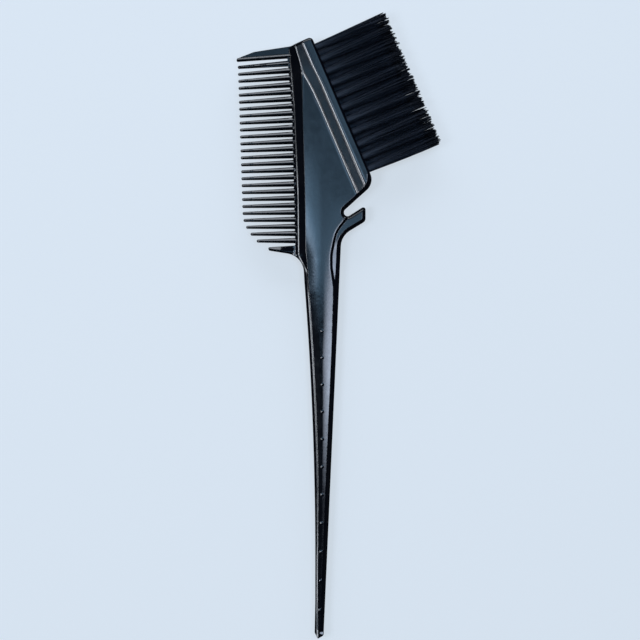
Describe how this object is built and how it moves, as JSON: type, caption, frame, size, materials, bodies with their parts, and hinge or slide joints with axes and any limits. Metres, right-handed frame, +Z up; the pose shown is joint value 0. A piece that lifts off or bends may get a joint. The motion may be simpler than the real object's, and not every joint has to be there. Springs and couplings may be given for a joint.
{
  "type": "hair tint brush",
  "caption": "Flat one-piece hair tint brush with a pointed tail handle, a sectioning comb down one side, a slanted bristle block on the other and a hook for a bowl rim.",
  "frame": {"origin": "under the middle of the brush's plan outline, on the surface that it lies on", "axes": "+Z up through the thickness, +Y along the handle towards the head, +X towards the bristles, with the comb on -X"},
  "size_m": [0.0707, 0.2158, 0.009],
  "materials": {
    "body_plastic": "gloss black moulded plastic",
    "bristle_nylon": "satin black nylon filament",
    "anchor_wire": "drawn flat wire"
  },
  "bodies": {
    "root": {"moulded_body": "body_plastic", "tuft_front_01": "bristle_nylon", "tuft_front_02": "bristle_nylon", "tuft_front_03": "bristle_nylon", "tuft_front_04": "bristle_nylon", "tuft_front_05": "bristle_nylon", "tuft_front_06": "bristle_nylon", "tuft_front_07": "bristle_nylon", "tuft_front_08": "bristle_nylon", "tuft_front_09": "bristle_nylon", "tuft_front_10": "bristle_nylon", "tuft_front_11": "bristle_nylon", "tuft_back_01": "bristle_nylon", "tuft_back_02": "bristle_nylon", "tuft_back_03": "bristle_nylon", "tuft_back_04": "bristle_nylon", "tuft_back_05": "bristle_nylon", "tuft_back_06": "bristle_nylon", "tuft_back_07": "bristle_nylon", "tuft_back_08": "bristle_nylon", "tuft_back_09": "bristle_nylon", "tuft_back_10": "bristle_nylon", "anchor_front_01": "anchor_wire", "anchor_front_02": "anchor_wire", "anchor_front_03": "anchor_wire", "anchor_front_04": "anchor_wire", "anchor_front_05": "anchor_wire", "anchor_front_06": "anchor_wire", "anchor_front_07": "anchor_wire", "anchor_front_08": "anchor_wire", "anchor_front_09": "anchor_wire", "anchor_front_10": "anchor_wire", "anchor_front_11": "anchor_wire", "anchor_back_01": "anchor_wire", "anchor_back_02": "anchor_wire", "anchor_back_03": "anchor_wire", "anchor_back_04": "anchor_wire", "anchor_back_05": "anchor_wire", "anchor_back_06": "anchor_wire", "anchor_back_07": "anchor_wire", "anchor_back_08": "anchor_wire", "anchor_back_09": "anchor_wire", "anchor_back_10": "anchor_wire"}
  },
  "joints": []
}
